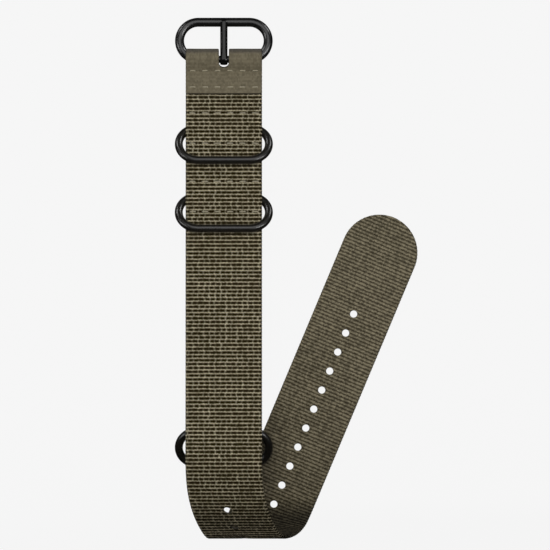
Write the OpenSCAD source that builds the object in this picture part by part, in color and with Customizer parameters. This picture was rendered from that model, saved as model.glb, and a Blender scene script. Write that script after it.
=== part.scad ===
// Zulu watch strap, laid down with its front stretch above its pierced tail.
// Millimetres. The origin is the middle of the watch seat, on the front face of the strap.
// +Y runs up the strap to the buckle, +X to its right, +Z away from the table.

/* [Webbing] */
// Width of the main strap, the lug width of the watch
webbing_w = 22; // [20:0.5:22.5]
// Thickness of the webbing
webbing_t = 1.2; // [1.1:0.05:1.3]
// Width of the backing strap
backing_w = 20.6; // [18:0.2:20.8]
// Slope of the front stretch, from the table up to the loop, in degrees
front_tilt = 10; // [9:0.5:11]
// Distance from the watch seat to the buckle's pivot bar, along the strap
seat_to_pivot = 79; // [76:1:86]
// Distance from the watch seat to where the loop begins, along the strap
seat_to_loop = 33.75; // [33:0.25:36]
// Length of the flap beyond the pivot bar
flap_len = 10.1; // [9.8:0.1:14]

/* [Loop and tail] */
// How far the loop reaches beyond its start on the front
loop_front_reach = 26; // [24:0.5:28]
// How far the loop reaches beyond its end on the tail
loop_tail_reach = 8; // [7:0.25:9]
// Share of the loop's height that lies below its outermost line
loop_low_share = 0.45; // [0.42:0.01:0.5]
// Length of the loop's start that still runs in line with the front
loop_in_line = 2; // [1:0.25:4]
// Angle between the tail and the front, seen from above, in degrees
tail_angle = 22.76; // [15:0.5:24]
// How far the tail's centre line is shifted sideways where the loop ends
tail_shift = 13.86; // [12:0.25:14.5]
// Length of the tail from the loop's end to the last hole's centre
tail_to_last_hole = 1.34; // [1.2:0.1:3]
// Holes in the flat tail
flat_holes = 11; // [8:1:12]
// Holes that follow them round the loop
loop_holes = 5; // [0:1:5]
// Distance from hole to hole
hole_pitch = 5.93; // [5.8:0.01:6.1]
// Diameter of a hole
hole_d = 2.2; // [1.8:0.1:2.4]
// How far the last holes in the loop sit left of the middle
loop_hole_drift = 0.7; // [0:0.1:1]
// Distance from the first hole's centre to the tip of the tail
tip_to_first_hole = 30.1; // [20:0.5:40]

/* [Buckle] */
// Outer width of the frame
frame_w = 28.1; // [27.9:0.1:28.6]
// Distance between the middles of the frame's two bars
frame_pitch = 10.84; // [10.6:0.1:11.4]
// Diameter of the frame's wire
frame_wire_d = 2.6; // [2.4:0.1:2.7]
// Diameter of the pivot bar, which is turned down for the tongue
pivot_d = 2.1; // [1.8:0.1:2.2]
// Length of the turned-down stretch of the pivot bar
pivot_len = 13; // [8:0.5:14]
// Width of the tongue
tongue_w = 2.1; // [1.6:0.1:2.4]
// Wall of the tongue's eye
tongue_wall = 0.55; // [0.4:0.05:0.65]
// Thickness of the tongue where it rests on the far bar
tongue_thick = 0.95; // [0.7:0.05:1.1]
// How far the tongue's tip reaches past the middle of the far bar
tongue_overhang = 0.55; // [0.2:0.05:1]
// Width of the slot in the fold
slot_w = 3; // [2.7:0.1:4]
// Distance from the pivot bar to the blind end of the slot
slot_reach = 2.6; // [2.2:0.1:2.7]

/* [Rings] */
// Outer width of a ring
ring_w = 28.2; // [27.9:0.1:28.8]
// Distance between the middles of a ring's two bars
ring_pitch = 11.15; // [10.9:0.05:11.3]
// Diameter of the ring wire
ring_wire_d = 2.3; // [2.1:0.1:2.3]
// Distance from the watch seat to the upper keeper's hidden bar
seat_to_upper_keeper = 59.5; // [57.5:0.5:61]
// Distance from the watch seat to the lower keeper's hidden bar
seat_to_lower_keeper = 39.55; // [37:0.5:41.5]
// Depth of a keeper's hidden bar below the middle of the main strap
keeper_bar_depth = 2.35; // [2.35:0.05:2.5]
// Length of the backing strap from its last seam to the end ring's bar
backing_free_len = 61.1; // [59.5:0.2:61.5]
// Sag of the backing strap's free end from the front, in degrees
backing_sag = 10.7; // [10.2:0.1:12]
// Length of the flap folded round the end ring
end_flap_len = 10.5; // [9:0.5:14]

/* [Seams] */
// Stitches in a row, on the front
stitches = 6; // [4:1:6]
// Distance from stitch to stitch
stitch_pitch = 3.6; // [3:0.1:3.6]
// Length of a stitch on the front
stitch_len = 1.7; // [1.2:0.1:2.2]
// Diameter of the thread
thread_d = 0.45; // [0.3:0.05:0.6]
// Distance from the buckle's pivot bar to the upper flap seam
flap_upper_seam = 3.5; // [3.4:0.1:4]
// Distance from the buckle's pivot bar to the lower flap seam
flap_lower_seam = 8.3; // [6:0.1:9]
// Distance from a keeper's hidden bar up to the seam above it
tunnel_top_seam = 3.8; // [3.7:0.1:4.4]
// Distance from a keeper's hidden bar down to the seam below it
tunnel_bottom_seam = 5; // [4.8:0.1:5.6]
// Webbing left beyond the first and last seam of the backing strap
seam_margin = 1.6; // [1.2:0.1:2]
// Distance from the end ring's bar to the inner seam of its fold
end_inner_seam = 3.6; // [3.5:0.1:4.2]
// Distance from the end ring's bar to the outer seam of its fold
end_outer_seam = 8.2; // [6:0.1:8.6]

/* [Fits] */
// Play between the pivot bar and the tongue's eye, on the radius
tongue_play = 0.05; // [0.03:0.01:0.1]
// Gap between pieces that rest on each other
rest_gap = 0.05; // [0.03:0.01:0.1]
// Gap between a ring's bar and the webbing wrapped round it
wrap_gap = 0.25; // [0.15:0.05:0.3]
// Gap between the frame's pivot bar and the looser fold round it
fold_gap = 0.85; // [0.75:0.05:0.9]

/* [Hidden] */
$fn = 48;

olive = [0.36, 0.34, 0.24];
olive_dark = [0.27, 0.26, 0.19];
thread_olive = [0.62, 0.60, 0.45];
black = [0.07, 0.07, 0.075];

half_t = webbing_t / 2;
half_w = webbing_w / 2;
past = 0.5;

// How far the layers stay apart short of a tunnel's two seams.
top_mouth = 0.5;
bottom_mouth = 0.7;

// Where a fold's inside closes short of its seam.
fold_closes = 0.2;

// The relief at a fold's open ends: its overshoot, its start's share of the bend, its clearance inside.
relief_past = 0.05;
relief_share = 0.45;
relief_ease = 0.02;

// A point of the front stretch's own frame, as [y, z], in the row's frame.
function to_row(p) = [
  p[0] * cos(front_tilt) + p[1] * sin(front_tilt),
  -p[0] * sin(front_tilt) + p[1] * cos(front_tilt)
];

// The fold round the pivot bar touches the table and sets its height.
fold_inner = pivot_d / 2 + fold_gap;
fold_outer = fold_inner + webbing_t;
pivot_row = to_row([seat_to_pivot, 0]);
table_z = pivot_row[1] - fold_outer;
tail_mid_z = table_z + half_t;

// Profile of the loop, in the YZ plane of the row, along the middle of the webbing.
loop_start = to_row([-seat_to_loop, -half_t]);
loop_height = loop_start[1] - tail_mid_z;
outermost = [loop_start[0] - loop_front_reach, tail_mid_z + loop_height * loop_low_share];
loop_end = [outermost[0] + loop_tail_reach, tail_mid_z];
upper_pull = 0.45;
lower_pull = 0.5523;
upper_rise = loop_start[1] - outermost[1];
lower_drop = outermost[1] - loop_end[1];
upper_curve = [
  loop_start,
  loop_start + upper_pull * loop_front_reach * [-cos(front_tilt), sin(front_tilt)],
  outermost + upper_pull * upper_rise * [0, 1],
  outermost
];
lower_curve = [
  outermost,
  outermost - lower_pull * lower_drop * [0, 1],
  loop_end - lower_pull * loop_tail_reach * [1, 0],
  loop_end
];
function bezier(c, u) =
  pow(1 - u, 3) * c[0] + 3 * u * pow(1 - u, 2) * c[1] + 3 * u * u * (1 - u) * c[2] + pow(u, 3) * c[3];
curve_steps = 24;
profile = concat(
  [for (i = [0:curve_steps]) bezier(upper_curve, i / curve_steps)],
  [for (i = [1:curve_steps]) bezier(lower_curve, i / curve_steps)]
);
function running_length(points, i = 0, sum = 0, out = []) =
  i == len(points) ? out :
  let (s = i == 0 ? 0 : sum + norm(points[i] - points[i - 1]))
  running_length(points, i + 1, s, concat(out, [s]));
profile_s = running_length(profile);
loop_len = profile_s[len(profile) - 1];
outermost_s = profile_s[curve_steps];
profile_y = [for (i = [0:len(profile) - 1]) [profile_s[i], profile[i][0]]];
profile_z = [for (i = [0:len(profile) - 1]) [profile_s[i], profile[i][1]]];

// Middle of the webbing at the length s past the loop's start, as [y, z].
function on_profile(s) =
  s < 0 ? loop_start + s * [-cos(front_tilt), sin(front_tilt)] :
  s > loop_len ? loop_end + [s - loop_len, 0] :
  [lookup(s, profile_y), lookup(s, profile_z)];
// Unit vector out of the webbing's front face there, as [y, z].
function face_normal(s) =
  let (d = on_profile(s + 0.2) - on_profile(s - 0.2))
  [d[1], -d[0]] / norm(d);

// The strap's centre line steers sideways round the loop. steer_x is its shift.
loop_from = -1.7;
steer_len = loop_len - loop_in_line;
tail_slope = tan(tail_angle);
function steer_x(s) =
  let (u = (s - loop_in_line) / steer_len)
  s <= loop_in_line ? 0 :
  s >= loop_len ? tail_shift + tail_slope * (s - loop_len) :
  (4 * tail_shift - tail_slope * steer_len) * pow(u, 3) * (1 - u) + tail_shift * pow(u, 4);
function steer_angle(s) = atan((steer_x(s + 0.1) - steer_x(s - 0.1)) / 0.2);

// The weft stays level with the front, then turns square to the tail from here on.
turn_lead = 7;
flat_margin = 0.3;
turn_from = outermost_s - turn_lead;
flat_from = loop_len + half_w * sin(tail_angle) + flat_margin;
function weft_turn(s) =
  let (u = max(0, min(1, (s - turn_from) / (flat_from - turn_from))))
  tail_angle * (3 * u * u - 2 * pow(u, 3));

// Cross section of the webbing with its rounded selvedges, as [across, up].
edge_steps = 4;
edge_turn = 180 / edge_steps;
section = concat(
  [for (i = [0:edge_steps]) let (a = 90 - i * edge_turn)
    [half_w - half_t + half_t * cos(a), half_t * sin(a)]],
  [for (i = [0:edge_steps]) let (a = 270 - i * edge_turn)
    [-half_w + half_t + half_t * cos(a), half_t * sin(a)]]
);
function place_section(s) =
  let (turn = weft_turn(s))
  [for (p = section)
    let (along = s - p[0] * sin(turn), at = on_profile(along) + p[1] * face_normal(along))
    [steer_x(s) + p[0] * cos(turn), at[0], at[1]]];

// Flat tail: where its straight stretch begins, and the holes, each at its run past the loop's end.
first_hole_run = tail_to_last_hole + (flat_holes - 1) * hole_pitch;
tail_run = first_hole_run + tip_to_first_hole;
flat_start_run = (flat_from - loop_len) / cos(tail_angle);
hole_runs = [for (i = [0:flat_holes + loop_holes - 1]) first_hole_run - i * hole_pitch];

// Length s at a run along the centre line, which goes back round the loop where it is negative.
function step_back(s, run) =
  run <= 0 ? s : step_back(s - min(run, 0.25) * cos(steer_angle(s)), run - 0.25);
function at_run(run) = run < 0 ? step_back(loop_len, -run) : loop_len + run * cos(tail_angle);

// Rings, in the front stretch's frame.
ring_r = ring_wire_d / 2;
ring_bend_r = ring_pitch / 2;
ring_half = ring_w / 2 - ring_r - ring_bend_r;
keeper_z = -half_t - keeper_bar_depth;
// A keeper's bent ends come to rest on the selvedges, short of its far bar by the edge dip.
edge_dip = ring_bend_r - sqrt(ring_bend_r * ring_bend_r - pow(half_w - half_t - ring_half, 2));
keeper_lean = asin((keeper_bar_depth + half_t + ring_r + rest_gap) / (ring_pitch - edge_dip));

// Buckle frame.
frame_r = frame_wire_d / 2;
frame_bend_r = frame_pitch / 2;
frame_half = frame_w / 2 - frame_r - frame_bend_r;
far_bar_drop = asin((fold_outer - frame_r) / frame_pitch);
slot_r = slot_w / 2;
tongue_eye = pivot_d / 2 + tongue_play;

// Backing strap.
under = -webbing_t;
tunnel_inner = ring_r + wrap_gap;
tunnel_outer = tunnel_inner + webbing_t;
tunnel_bar = keeper_bar_depth - half_t;
backing_top = seat_to_upper_keeper + tunnel_top_seam + seam_margin;
backing_hinge_y = seat_to_lower_keeper - tunnel_bottom_seam - seam_margin;
backing_hinge = [backing_hinge_y, under - half_t];
end_inner = ring_r + wrap_gap;
end_outer = end_inner + webbing_t;

// The end ring hangs from the backing strap's fold until its far bar rests on the tail.
end_level = backing_sag - front_tilt;
end_bar_z = to_row(backing_hinge)[1] - backing_free_len * sin(end_level) - half_t * cos(end_level);
end_ring_drop = asin((end_bar_z - (table_z + webbing_t + ring_r + rest_gap)) / ring_pitch);

module front_frame() {
  rotate([-front_tilt, 0, 0]) children();
}

// The free end's own frame: origin on the hinge line, webbing along -Y.
module backing_end_frame() {
  front_frame()
    translate([0, backing_hinge[0], backing_hinge[1]])
      rotate([backing_sag, 0, 0]) children();
}

// Turns a flat profile drawn as [y, z] into a solid of the given width, centred on X.
module across(width) {
  translate([-width / 2, 0, 0])
    rotate([90, 0, 90])
      linear_extrude(height = width) children();
}

// A wedge from the point p that touches the circle of radius r at the origin on both sides.
module tangent_wedge(p, r) {
  reach = norm(p);
  at = atan2(p[1], p[0]);
  open = acos(r / reach);
  polygon([p, r * [cos(at + open), sin(at + open)], [0, 0], r * [cos(at - open), sin(at - open)]]);
}

// Profile of webbing folded round a bar at the origin, both layers leaving towards -Y.
module fold_profile(inner, outer, merge) {
  difference() {
    union() {
      circle(r = outer);
      tangent_wedge([-merge, webbing_t], outer);
      tangent_wedge([-merge, -webbing_t], outer);
      translate([-merge, -webbing_t]) square([merge, 2 * webbing_t]);
    }
    circle(r = inner);
    tangent_wedge([-merge + fold_closes, 0], inner);
  }
}

// Slot for the tongue: open towards +Y, its blind end rounded in flats about the origin.
module slot_outline() {
  flats = 6;
  polygon(concat(
    [for (i = [0:flats]) slot_r * [cos(180 + 180 * i / flats), sin(180 + 180 * i / flats)]],
    [[slot_r, 2 * fold_outer], [-slot_r, 2 * fold_outer]]
  ));
}

// Relief where a frame or ring's bent ends leave the open ends of the fold.
module bend_relief(half, bend_r, wire_r, inner, width) {
  reach = width / 2 + relief_past;
  dip = bend_r - sqrt(bend_r * bend_r - pow(reach - half, 2));
  steep = asin((reach - half) / bend_r);
  mouth = dip + wire_r / cos(steep) + rest_gap;
  from = half + relief_share * (reach - half);
  for (side = [-1, 1])
    rotate([0, 90 * side, 0])
      translate([0, 0, from])
        cylinder(h = reach - from, r1 = inner - relief_ease, r2 = mouth);
}

// A ring of bent wire: pivot bar on the X axis, other bar at y = -pitch.
module wire_ring(half, bend_r, wire_r) {
  for (y = [0, -2 * bend_r])
    translate([-half, y, 0]) rotate([0, 90, 0]) cylinder(h = 2 * half, r = wire_r);
  for (side = [-1, 1])
    translate([side * half, -bend_r, 0])
      rotate([0, 0, -90 * side])
        rotate_extrude(angle = 180) translate([bend_r, 0]) circle(r = wire_r);
}

// Straight main webbing along Y, square-edged at the watch seat and rounded at the keepers.
module front_run() {
  from = -seat_to_loop - loop_from - past;
  keepers_from = seat_to_lower_keeper - ring_pitch - ring_wire_d;
  to = seat_to_pivot - flap_upper_seam;
  translate([-half_w, from, -webbing_t]) cube([webbing_w, keepers_from - from, webbing_t]);
  translate([0, to, -half_t])
    rotate([90, 0, 0])
      linear_extrude(height = to - keepers_from + past) polygon(section);
}

// The strap's whole turn round the loop.
module loop_webbing() {
  steps = 36;
  step = (flat_from + past - loop_from) / steps;
  rows = [for (i = [0:steps]) place_section(loop_from + i * step)];
  n = len(section);
  faces = concat(
    [for (i = [0:steps - 1]) for (j = [0:n - 1])
      let (a = i * n + j, b = i * n + (j + 1) % n)
      each [[a, b, a + n], [b, b + n, a + n]]],
    [[for (j = [n - 1:-1:0]) j]],
    [[for (j = [0:n - 1]) steps * n + j]]
  );
  polyhedron(points = [for (row = rows) each row], faces = faces);
}

// The holes that lie in the loop, as pins to cut away. Past the fold they drift to the left.
function hole_drift(run) = loop_hole_drift * max(0, min(1, -run / (2 * hole_pitch)));
module loop_hole_pins() {
  for (run = hole_runs)
    if (run < flat_start_run + past + hole_d) {
      s = at_run(run);
      turn = weft_turn(s);
      along = s + hole_drift(run) * sin(turn);
      at = on_profile(along);
      out = face_normal(along);
      translate([steer_x(s) - hole_drift(run) * cos(turn), at[0], at[1]])
        rotate([atan2(-out[0], out[1]), 0, 0])
          cylinder(h = 3 * webbing_t, d = hole_d, center = true);
    }
}

// Everything above or below the loop's outermost line, as a block to cut away.
module side_of_hinge(up) {
  size = 120;
  gap = up ? 0 : half_t + rest_gap;
  translate([-size / 2, outermost[0] - past * 8, up ? outermost[1] : outermost[1] + gap - size])
    cube([size, size, size]);
}

module main_strap() color(olive) {
  front_frame() {
    front_run();
    difference() {
      translate([0, seat_to_pivot, 0]) {
        across(webbing_w) fold_profile(fold_inner, fold_outer, flap_upper_seam);
        translate([-half_w, -flap_len, 0]) cube([webbing_w, flap_len - flap_upper_seam, webbing_t]);
      }
      translate([0, seat_to_pivot, 0]) {
        translate([0, -slot_reach + slot_r, -1.5 * fold_outer])
          linear_extrude(height = 3 * fold_outer) slot_outline();
        bend_relief(frame_half, frame_bend_r, frame_r, fold_inner, webbing_w);
      }
    }
  }
  difference() {
    loop_webbing();
    side_of_hinge(false);
    loop_hole_pins();
  }
}

module main_strap_tail() color(olive_dark) {
  turn = weft_turn(outermost_s);
  knuckle_len = webbing_w * (cos(turn) + sin(turn) * tan(steer_angle(outermost_s))) - webbing_t;
  difference() {
    union() {
      difference() {
        loop_webbing();
        side_of_hinge(true);
      }
      translate([steer_x(outermost_s), outermost[0], outermost[1]])
        rotate([0, 90, 0])
          cylinder(h = knuckle_len, r = half_t, center = true);
    }
    loop_hole_pins();
  }
  translate([tail_shift, loop_end[0], table_z])
    rotate([0, 0, -tail_angle])
      linear_extrude(height = webbing_t)
        difference() {
          union() {
            translate([-half_w, flat_start_run]) square([webbing_w, tail_run - half_w - flat_start_run]);
            translate([0, tail_run - half_w]) circle(r = half_w, $fn = 96);
          }
          for (run = hole_runs)
            if (run > flat_start_run - hole_d) translate([0, run]) circle(d = hole_d);
        }
}

// Outer outline and hollow of one tunnel, about the hidden bar, under the main strap.
module tunnel_profile() {
  reach_up = tunnel_top_seam - top_mouth;
  reach_down = tunnel_bottom_seam - bottom_mouth;
  difference() {
    union() {
      circle(r = tunnel_outer);
      tangent_wedge([reach_up, tunnel_bar - webbing_t], tunnel_outer);
      tangent_wedge([-reach_down, tunnel_bar - webbing_t], tunnel_outer);
      translate([-reach_down, tunnel_bar - webbing_t]) square([reach_up + reach_down, webbing_t]);
    }
    circle(r = tunnel_inner);
    tangent_wedge([reach_up, tunnel_bar], tunnel_inner);
    tangent_wedge([-reach_down, tunnel_bar], tunnel_inner);
    polygon([[reach_up, tunnel_bar], [0, -tunnel_inner / 2], [-reach_down, tunnel_bar]]);
    translate([-reach_down, tunnel_bar]) square([reach_up + reach_down, 2 * tunnel_outer]);
  }
}

module backing_strap() color(olive_dark) front_frame() {
  reach_up = tunnel_top_seam - top_mouth;
  reach_down = tunnel_bottom_seam - bottom_mouth;
  across(backing_w) {
    for (bar = [seat_to_upper_keeper, seat_to_lower_keeper])
      translate([bar, keeper_z]) tunnel_profile();
    translate([backing_hinge_y + half_t + rest_gap, under - webbing_t])
      square([seat_to_lower_keeper - reach_down - backing_hinge_y - half_t - rest_gap, webbing_t]);
    translate([seat_to_lower_keeper + reach_up, under - webbing_t])
      square([seat_to_upper_keeper - reach_down - seat_to_lower_keeper - reach_up, webbing_t]);
    translate([seat_to_upper_keeper + reach_up, under - webbing_t])
      square([backing_top - seat_to_upper_keeper - reach_up, webbing_t]);
  }
}

module backing_strap_end() color(olive_dark) backing_end_frame() {
  rotate([0, 90, 0]) cylinder(h = backing_w, r = half_t, center = true);
  difference() {
    union() {
      translate([-backing_w / 2, -backing_free_len + end_inner_seam, -half_t])
        cube([backing_w, backing_free_len - end_inner_seam, webbing_t]);
      translate([0, -backing_free_len, -half_t]) {
        mirror([0, 1, 0]) across(backing_w) fold_profile(end_inner, end_outer, end_inner_seam);
        translate([-backing_w / 2, end_inner_seam, -webbing_t])
          cube([backing_w, end_flap_len - end_inner_seam, webbing_t]);
      }
    }
    translate([0, -backing_free_len, -half_t])
      bend_relief(ring_half, ring_bend_r, ring_r, end_inner, backing_w);
  }
}

module buckle_frame() color(black)
  translate([0, pivot_row[0], pivot_row[1]])
    rotate([-far_bar_drop, 0, 0])
      difference() {
        mirror([0, 1, 0]) wire_ring(frame_half, frame_bend_r, frame_r);
        rotate([0, 90, 0])
          difference() {
            cylinder(h = pivot_len, r = frame_wire_d, center = true);
            cylinder(h = pivot_len + past, d = pivot_d, center = true);
          }
      }

// Blade of the tongue from the side, about the pivot bar, drawn as [y, z].
module tongue_side() {
  sole = frame_r + rest_gap;
  tip = frame_pitch + tongue_overhang;
  waist = 0.27 * tip;
  back = tongue_eye + tongue_wall;
  polygon([
    [0.3 * tongue_wall, back - tongue_wall / 2], [tongue_wall, back], [waist, back + 0.2 * tongue_wall],
    [0.7 * tip, sole + tongue_thick], [0.94 * tip, sole + 0.95 * tongue_thick],
    [0.99 * tip, sole + 0.65 * tongue_thick], [tip, sole + 0.25 * tongue_thick],
    [0.985 * tip, sole], [0.88 * tip, sole], [0.7 * tip, sole - rest_gap], [waist, 0.62 * tongue_eye],
    [back - tongue_wall / 2, 0.2 * tongue_eye]
  ]);
}

// The blade from above, its tip rounded in flats.
module tongue_outline() {
  flats = 8;
  r = tongue_w / 2;
  tip_centre = frame_pitch + tongue_overhang - r;
  polygon(concat(
    [[-r, 0], [r, 0]],
    [for (i = [0:flats]) let (a = 180 * i / flats) [r * cos(a), tip_centre + r * sin(a)]]
  ));
}

module buckle_tongue() color(black)
  translate([0, pivot_row[0], pivot_row[1]])
    rotate([-far_bar_drop, 0, 0])
      difference() {
        union() {
          rotate([0, 90, 0]) cylinder(h = tongue_w, r = tongue_eye + tongue_wall, center = true);
          intersection() {
            across(tongue_w) tongue_side();
            translate([0, 0, -frame_pitch])
              linear_extrude(height = 2 * frame_pitch) tongue_outline();
          }
        }
        rotate([0, 90, 0]) cylinder(h = 2 * tongue_w, r = tongue_eye, center = true);
      }

module keeper(bar_y) {
  front_frame()
    translate([0, bar_y, keeper_z])
      rotate([-keeper_lean, 0, 0]) wire_ring(ring_half, ring_bend_r, ring_r);
}

module upper_keeper_ring() color(black) keeper(seat_to_upper_keeper);
module lower_keeper_ring() color(black) keeper(seat_to_lower_keeper);

module end_ring() color(black)
  backing_end_frame()
    translate([0, -backing_free_len, -half_t])
      rotate([end_ring_drop - end_level, 0, 0])
        wire_ring(ring_half, ring_bend_r, ring_r);

// One row of lockstitch along X: stitches on the face at z = top, between them at z = bottom.
module seam(top, bottom) {
  thread_r = thread_d / 2;
  first = -(stitches - 1) / 2 * stitch_pitch;
  for (i = [0:stitches - 1]) {
    x = first + i * stitch_pitch;
    translate([x - stitch_len / 2, 0, top]) rotate([0, 90, 0]) cylinder(h = stitch_len, r = thread_r);
    for (side = [-1, 1])
      translate([x + side * (stitch_len / 2 - thread_r), 0, bottom])
        cylinder(h = top - bottom, r = 0.8 * thread_r);
    if (i < stitches - 1)
      translate([x + stitch_len / 2 - 2 * thread_r, 0, bottom])
        rotate([0, 90, 0])
          cylinder(h = stitch_pitch - stitch_len + 4 * thread_r, r = thread_r);
  }
}

module flap_seam(run) {
  color(thread_olive) front_frame()
    translate([0, seat_to_pivot - run, 0]) seam(webbing_t, -webbing_t);
}

module tunnel_seam(bar_y, run) {
  color(thread_olive) front_frame()
    translate([0, bar_y + run, 0]) seam(0, under - webbing_t);
}

module end_seam(run) {
  color(thread_olive) backing_end_frame()
    translate([0, -backing_free_len + run, 0]) seam(half_t, -half_t - webbing_t);
}

module flap_seam_upper() flap_seam(flap_upper_seam);
module flap_seam_lower() flap_seam(flap_lower_seam);
module upper_tunnel_seam_top() tunnel_seam(seat_to_upper_keeper, tunnel_top_seam);
module upper_tunnel_seam_bottom() tunnel_seam(seat_to_upper_keeper, -tunnel_bottom_seam);
module lower_tunnel_seam_top() tunnel_seam(seat_to_lower_keeper, tunnel_top_seam);
module lower_tunnel_seam_bottom() tunnel_seam(seat_to_lower_keeper, -tunnel_bottom_seam);
module end_seam_inner() end_seam(end_inner_seam);
module end_seam_outer() end_seam(end_outer_seam);

main_strap();
main_strap_tail();
backing_strap();
backing_strap_end();
buckle_frame();
buckle_tongue();
upper_keeper_ring();
lower_keeper_ring();
end_ring();
flap_seam_upper();
flap_seam_lower();
upper_tunnel_seam_top();
upper_tunnel_seam_bottom();
lower_tunnel_seam_top();
lower_tunnel_seam_bottom();
end_seam_inner();
end_seam_outer();
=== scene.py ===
import math

import bpy
import numpy as np
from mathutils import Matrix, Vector
from mathutils.geometry import delaunay_2d_cdt


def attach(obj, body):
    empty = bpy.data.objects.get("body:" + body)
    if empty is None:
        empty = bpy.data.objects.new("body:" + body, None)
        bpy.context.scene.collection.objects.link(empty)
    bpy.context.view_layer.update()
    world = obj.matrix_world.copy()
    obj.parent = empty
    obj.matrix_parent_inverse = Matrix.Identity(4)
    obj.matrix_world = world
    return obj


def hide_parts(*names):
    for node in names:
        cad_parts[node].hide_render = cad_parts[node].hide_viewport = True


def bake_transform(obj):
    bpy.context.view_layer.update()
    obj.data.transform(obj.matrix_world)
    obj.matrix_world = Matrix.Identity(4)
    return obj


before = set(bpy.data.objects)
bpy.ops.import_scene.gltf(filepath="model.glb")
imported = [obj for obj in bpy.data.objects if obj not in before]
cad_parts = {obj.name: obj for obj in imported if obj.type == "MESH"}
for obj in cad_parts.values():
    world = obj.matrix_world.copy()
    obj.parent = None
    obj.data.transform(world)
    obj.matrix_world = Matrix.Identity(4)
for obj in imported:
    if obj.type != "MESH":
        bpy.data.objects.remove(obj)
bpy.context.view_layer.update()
MM = 0.001

# Sizes repeated from part.scad, in millimetres.
TILT = math.radians(10)
WEBBING_W, WEBBING_T, BACKING_W = 22.0, 1.2, 20.6
HALF_T = WEBBING_T / 2
PIVOT_Y, LOOP_Y, FLAP_LEN = 79.0, -33.75, 10.1
FLAP_SEAMS = (3.5, 8.3)
TUNNEL_SEAMS = (3.8, -5.0)
END_SEAMS = (3.6, 8.2)
SEAM_MARGIN = 1.6
STITCHES, STITCH_PITCH, STITCH_LEN = 6, 3.6, 1.7
LOOP_FRONT, LOOP_TAIL, LOOP_LOW, LOOP_IN_LINE = 26.0, 8.0, 0.45, 2.0
UPPER_PULL, LOWER_PULL = 0.45, 0.5523
TURN_LEAD, FLAT_MARGIN = 7, 0.3
TAIL_ANGLE, TAIL_SHIFT = math.radians(22.76), 13.86
TAIL_TO_LAST_HOLE, HOLE_PITCH, FLAT_HOLES, LOOP_HOLES, TIP_TO_HOLE = 1.34, 5.93, 11, 5, 30.1
HOLE_R, LOOP_HOLE_DRIFT = 1.1, 0.7
SLOT_R, SLOT_REACH = 1.5, 2.6
FRAME_PITCH, FRAME_R, FOLD_OUTER, PIVOT_R = 10.84, 1.3, 3.1, 1.05
TONGUE_PLAY, TONGUE_HALF_WALL, TONGUE_OVERHANG, TONGUE_HALF_W = 0.05, 0.275, 0.55, 1.05
UPPER_KEEPER, LOWER_KEEPER, KEEPER_Z = 59.5, 39.55, -2.95
BACKING_Z = -1.8
HINGE = (32.95, BACKING_Z)
SAG = math.radians(10.7)
FREE_LEN, END_FLAP = 61.1, 10.5

# Radius of the webbing's middle line where it wraps the pivot bar, and where it wraps a ring.
FOLD_MID, TUNNEL_MID = 2.5, 2.0
# How far inside its two seams the backing leaves the front for a ring's tunnel.
TUNNEL_LEADS = (0.5, 0.7)
TAIL_RUN = 110
PATH_STEP = 0.05

# Length of a rib on the front, the tail and the backing, and how deep a seam pinches.
FRONT_RIB, TAIL_RIB, BACKING_RIB = 1.112, 0.994, 1.05
FLAP_PINCH, TUNNEL_PINCH = 0.1, 0.07
# Heights of the tunnel seams' threads, on the front and behind.
TUNNEL_TOP, TUNNEL_LOW = -0.05, -2.36
# Angles round the pivot bar where the tongue's curl begins and ends.
TONGUE_CURL = (-28, -262)

# Added to a point's distance across, for the back face and for the wall of a hole.
BACK, WALL = 1000, 2000
RIM_POINTS = 36
# A stitch that climbs more steeply than this, as the sine, starts its round from another side.
STEEP = 0.9
# A hole's rings of points, by distance from its rim, and how far the first two sink.
RIM_GROWS, RIM_SINKS = (0.0, 0.07, 0.18, 0.36), (0.17, 0.05)
PATCH_REACH = 0.62

# The weave: width of a column, the glints on its crossings, and the dark between its yarns, partly
# painted shade in the grooves.
COLUMN = 1.58
GLINT_TONE, GLINT_SHARE = (0.74, 0.68, 0.50, 1), 0.6
YARN_GAP = 0.62
# The flap's tone, and the painted shade on the span of ribs where the fold turns.
CALM_SHADE = 0.24
FOLD_SHADE_TONE, FOLD_SHADE_SHARE, FOLD_SHADE_BLUR = (0.075, 0.066, 0.056, 1), 0.75, 1.2

FLOOR_HALF, FLOOR_GLOW = 1.5, 0.905
WORLD_GLOW = 0.42
# Middle and width of the picture on the table, in metres: 550 px at 3.482 px to the millimetre.
VIEW_X, VIEW_Y, VIEW_Z, VIEW_WIDTH = 0.0147, 0.0158, -0.006, 0.15795
VIEW_DISTANCE = 6.0


def to_row(y, z):
    """A point of the front stretch's own frame, in the row's frame."""
    c, s = math.cos(TILT), math.sin(TILT)
    return np.array([y * c + z * s, -y * s + z * c])


PIVOT = to_row(PIVOT_Y, 0)
TABLE_Z = PIVOT[1] - FOLD_OUTER
TAIL_Z = TABLE_Z + HALF_T


def smooth(x):
    x = np.clip(x, 0, 1)
    return x * x * (3 - 2 * x)


# ---------------------------------------------------------------- webbing paths
def arc(centre, r, a0, a1, step=0.1):
    n = max(3, int(abs(math.radians(a1 - a0)) * r / step))
    a = np.radians(np.linspace(a0, a1, n))
    return np.stack([centre[0] + r * np.cos(a), centre[1] + r * np.sin(a)], 1)


def line(p, q, step=0.1):
    n = max(2, int(math.dist(p, q) / step))
    t = np.linspace(0, 1, n)[:, None]
    return np.array(p, float) * (1 - t) + np.array(q, float) * t


def tangent_angle(p, r, side):
    """Angle on the circle of radius r at the origin where the tangent from p touches it."""
    reach = math.hypot(*p)
    return math.degrees(math.atan2(p[1], p[0]) + side * math.acos(r / reach))


def lengths(pts):
    """Distance along a polyline to each of its points."""
    return np.r_[0, np.cumsum(np.hypot(*np.diff(pts, axis=0).T))]


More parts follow.
